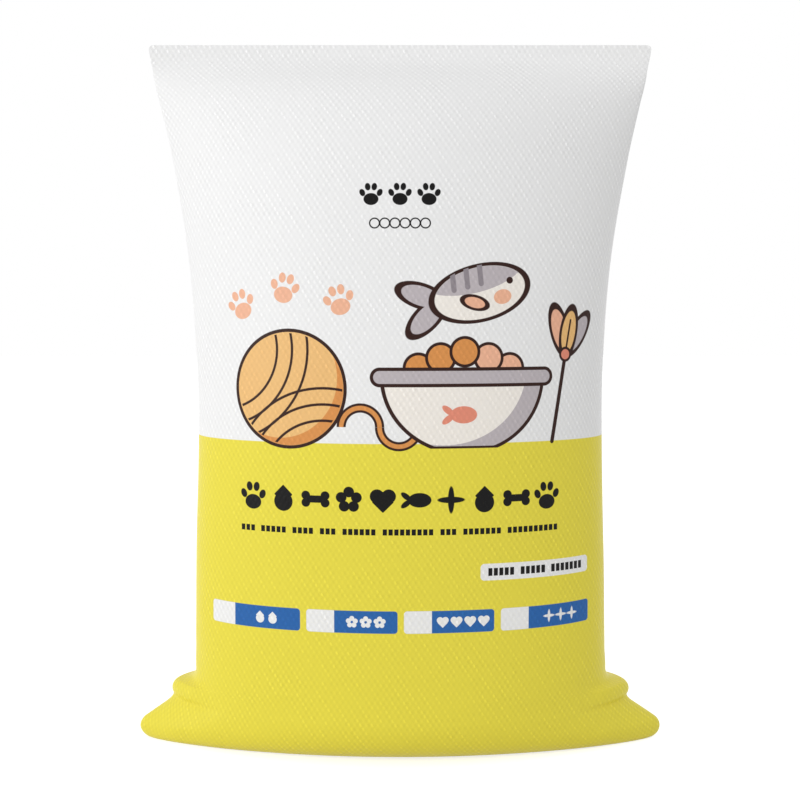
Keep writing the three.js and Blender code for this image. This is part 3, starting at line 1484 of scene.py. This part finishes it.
@dataclass(frozen=True)
class Film:
    """The clear film over the print, with what is the same over every colour: its gloss, its
    bumps and the weave's painted highlight and shade.
    """

    tree: Tree
    # The weave's painted highlight and shade, which scales the colour.
    shade: Socket
    roughness: Socket
    normal: Socket
    shine: float

    def over(self, colour: Socket) -> Socket:
        """Adds the film's shader over one printed colour.

        Args:
            colour: The colour.

        Returns:
            The shader's output.
        """
        # The colour is scaled by the weave's painted highlight and shade.
        tint = add_vector(self.tree, "SCALE", colour)
        self.tree.links.new(self.shade, tint.inputs["Scale"])
        shader = self.tree.nodes.new("ShaderNodeBsdfPrincipled")
        shader.inputs["Specular IOR Level"].default_value = self.shine
        self.tree.links.new(tint.outputs[0], shader.inputs["Base Color"])
        self.tree.links.new(self.roughness, shader.inputs["Roughness"])
        self.tree.links.new(self.normal, shader.inputs["Normal"])
        return shader.outputs[0]


@dataclass(frozen=True)
class SackCloth:
    """The finish of the sack: a satin film over woven tape, printed under the film."""

    weave: Weave
    front: FrontPrint
    grain_scale: float = 0.35
    roughness: Pair = (0.36, 0.46)
    relief: float = 0.14 * MM
    relief_strength: float = 0.8
    shine: float = 0.16

    def build(self) -> bpy.types.Material:
        """Makes the material.

        Returns:
            The material.
        """
        material = bpy.data.materials.new("laminated_sack_cloth")
        material.use_nodes = True
        tree = material.node_tree
        tree.nodes.remove(tree.nodes["Principled BSDF"])
        coordinates = tree.nodes.new("ShaderNodeUVMap")
        coordinates.uv_map = "cloth"
        scale = (1 / MM, 1 / MM, 0)
        cloth = add_vector(tree, "MULTIPLY", coordinates.outputs["UV"], scale).outputs[0]
        surface = self.printed(tree, cloth, self.film(tree, cloth))
        tree.links.new(surface, tree.nodes["Material Output"].inputs["Surface"])
        return material

    def group(self, tree: Tree, content: Tree, cloth: Socket) -> bpy.types.Node:
        """Adds a node group over the cloth's coordinates.

        Args:
            tree: The material's tree.
            content: The group.
            cloth: The cloth's coordinates, in millimetres.

        Returns:
            The group's node.
        """
        node = tree.nodes.new("ShaderNodeGroup")
        node.node_tree = content
        tree.links.new(cloth, node.inputs["Cloth"])
        return node

    def film(self, tree: Tree, cloth: Socket) -> Film:
        """Makes the film with the weave under it and its slightly uneven gloss.

        Args:
            tree: The material's tree.
            cloth: The cloth's coordinates, in millimetres.

        Returns:
            The film.
        """
        weave = self.group(tree, self.weave.build(), cloth)
        grain = tree.nodes.new("ShaderNodeTexNoise")
        grain.inputs["Scale"].default_value = self.grain_scale
        grain.inputs["Detail"].default_value = 3
        tree.links.new(cloth, grain.inputs["Vector"])
        rough = tree.nodes.new("ShaderNodeMapRange")
        rough.inputs["To Min"].default_value = self.roughness[0]
        rough.inputs["To Max"].default_value = self.roughness[1]
        tree.links.new(grain.outputs["Fac"], rough.inputs["Value"])
        bump = tree.nodes.new("ShaderNodeBump")
        bump.inputs["Distance"].default_value = self.relief
        bump.inputs["Strength"].default_value = self.relief_strength
        tree.links.new(weave.outputs["Height"], bump.inputs["Height"])
        # The weave's painted highlight and shade, which scales every printed colour.
        shade = weave.outputs["Shade"]
        return Film(tree, shade, rough.outputs[0], bump.outputs[0], self.shine)

    def printed(self, tree: Tree, cloth: Socket, film: Film) -> Socket:
        """Lays the film over the two colour fields and over each band of the front.

        Args:
            tree: The material's tree.
            cloth: The cloth's coordinates, in millimetres.
            film: The film.

        Returns:
            The surface's shader.
        """
        fields = self.group(tree, self.front.fields(), cloth)
        fields.inputs["Ground"].default_value = Ink.FILM.value
        split = tree.nodes.new("ShaderNodeSeparateXYZ")
        tree.links.new(cloth, split.inputs[0])
        across, up = split.outputs[0], split.outputs[1]
        on_front = add_math(tree, "COMPARE", across, 0.0, self.front.layout.reach)
        surface = film.over(fields.outputs["Color"])
        for band in self.front.bands():
            middle, half = (band.low + band.high) / 2, (band.high - band.low) / 2
            inside = add_math(tree, "COMPARE", up, middle, half)
            inside = add_math(tree, "MULTIPLY", inside, on_front)
            plate = self.group(tree, band.plate, cloth)
            tree.links.new(fields.outputs["Color"], plate.inputs["Ground"])
            choice = tree.nodes.new("ShaderNodeMixShader")
            feed(tree, choice, (inside, surface, film.over(plate.outputs["Color"])))
            surface = choice.outputs[0]
        return surface


@dataclass
class LitterSack:
    """The sack: its shell, dressed in its printed cloth."""

    shell: SackShell
    cloth: SackCloth
    fill: float = 0.95

    def build(self) -> bpy.types.Object:
        """Builds the sack, dresses it and lets it stand for its CAD solid.

        Returns:
            The sack's object.
        """
        sack = self.shell.build()
        sack.data.materials.append(self.cloth.build())
        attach(sack, BODY)
        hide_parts(NODE)
        return sack


@dataclass
class Studio:
    """A plain pale floor, one soft lamp in even light and the camera.

    Lengths are in metres and angles in degrees.
    """

    camera_distance: float = 0.600
    camera_height: float = 0.22939
    camera_tilt: float = 4.2
    focal_pixels: float = 1117.0
    frame_pixels: float = 800.0
    sensor: float = 36.0
    floor_size: float = 12.0
    floor_grey: float = 0.75
    floor_roughness: float = 0.9
    floor_glow: float = 0.7
    even_light: float = 0.73
    key_place: Triple = (-1.67, -1.40, 0.56)
    key_size: float = 1.4
    key_power: float = 18.4
    aim_height: float = 0.19

    def camera(self) -> None:
        """Sets the camera at the photograph's viewpoint."""
        data = bpy.data.cameras.new("camera")
        data.sensor_width = self.sensor
        data.lens = self.sensor * self.focal_pixels / self.frame_pixels
        camera = bpy.data.objects.new("camera", data)
        camera.location = (0, -self.camera_distance, self.camera_height)
        camera.rotation_euler = (math.radians(90 - self.camera_tilt), 0, 0)
        bpy.context.scene.collection.objects.link(camera)
        bpy.context.scene.camera = camera

    def shown(self, tree: Tree, other: Socket, seen: Socket) -> Socket:
        """Chooses a shader by what a ray is for.

        Args:
            tree: The tree of a material or the world.
            other: What lights the scene.
            seen: What the camera sees, straight or in a shiny or clear material.

        Returns:
            The chosen shader.
        """
        rays = tree.nodes.new("ShaderNodeLightPath")
        mask = rays.outputs["Is Camera Ray"]
        for kind in ("Is Glossy Ray", "Is Transmission Ray"):
            mask = add_math(tree, "MAXIMUM", mask, rays.outputs[kind])
        choice = tree.nodes.new("ShaderNodeMixShader")
        feed(tree, choice, (mask, other, seen))
        return choice.outputs[0]

    def floor(self) -> None:
        """Lays the floor, which looks white to the camera and keeps the shadow."""
        bpy.ops.object.select_all(action="DESELECT")
        bpy.ops.mesh.primitive_plane_add(size=self.floor_size)
        floor = bpy.context.object
        floor.name = "floor"
        material = bpy.data.materials.new("white_floor")
        material.use_nodes = True
        tree = material.node_tree
        shader = tree.nodes["Principled BSDF"]
        shader.inputs["Base Color"].default_value = (*[self.floor_grey] * 3, 1)
        shader.inputs["Roughness"].default_value = self.floor_roughness
        shader.inputs["Specular IOR Level"].default_value = 0.0
        glow = tree.nodes.new("ShaderNodeEmission")
        glow.inputs["Strength"].default_value = self.floor_glow
        dark = tree.nodes.new("ShaderNodeEmission")
        dark.inputs["Strength"].default_value = 0.0
        both = tree.nodes.new("ShaderNodeAddShader")
        choice = self.shown(tree, dark.outputs[0], glow.outputs[0])
        feed(tree, both, (shader.outputs[0], choice))
        tree.links.new(both.outputs[0], tree.nodes["Material Output"].inputs["Surface"])
        floor.data.materials.append(material)

    def world(self) -> None:
        """Fills the room with even light and shows white behind the sack."""
        world = bpy.data.worlds.new("studio")
        bpy.context.scene.world = world
        world.use_nodes = True
        tree = world.node_tree
        fill, white = tree.nodes["Background"], tree.nodes.new("ShaderNodeBackground")
        for background, strength in ((fill, self.even_light), (white, 1.0)):
            background.inputs["Color"].default_value = (1, 1, 1, 1)
            background.inputs["Strength"].default_value = strength
        surface = self.shown(tree, fill.outputs[0], white.outputs[0])
        tree.links.new(surface, tree.nodes["World Output"].inputs["Surface"])

    def key_lamp(self) -> None:
        """Hangs the square soft lamp that faces the sack."""
        data = bpy.data.lights.new("key_lamp", "AREA")
        data.shape = "SQUARE"
        data.size = self.key_size
        data.energy = self.key_power
        lamp = bpy.data.objects.new("key_lamp", data)
        lamp.location = self.key_place
        aim = Vector((0, 0, self.aim_height)) - Vector(self.key_place)
        lamp.rotation_euler = aim.to_track_quat("-Z", "Y").to_euler()
        bpy.context.scene.collection.objects.link(lamp)

    def build(self) -> None:
        """Sets up the whole studio."""
        self.camera()
        self.floor()
        self.world()
        self.key_lamp()
        bpy.context.scene.view_settings.view_transform = "Standard"


def main() -> None:
    """Builds the studio and the sack and reports each piece."""
    logging.basicConfig(level=logging.INFO)
    Studio().build()
    _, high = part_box(NODE)
    shell = SackShell(height=high.z, reach=high.x)
    sack = LitterSack(shell, SackCloth(Weave(), FrontPrint(Layout()))).build()
    LOG.info("%s: %d faces", sack.name, len(sack.data.polygons))
    nodes = sum(len(group.nodes) for group in bpy.data.node_groups)
    LOG.info("print and weave: %d nodes", nodes)


if __name__ == "__main__":
    main()
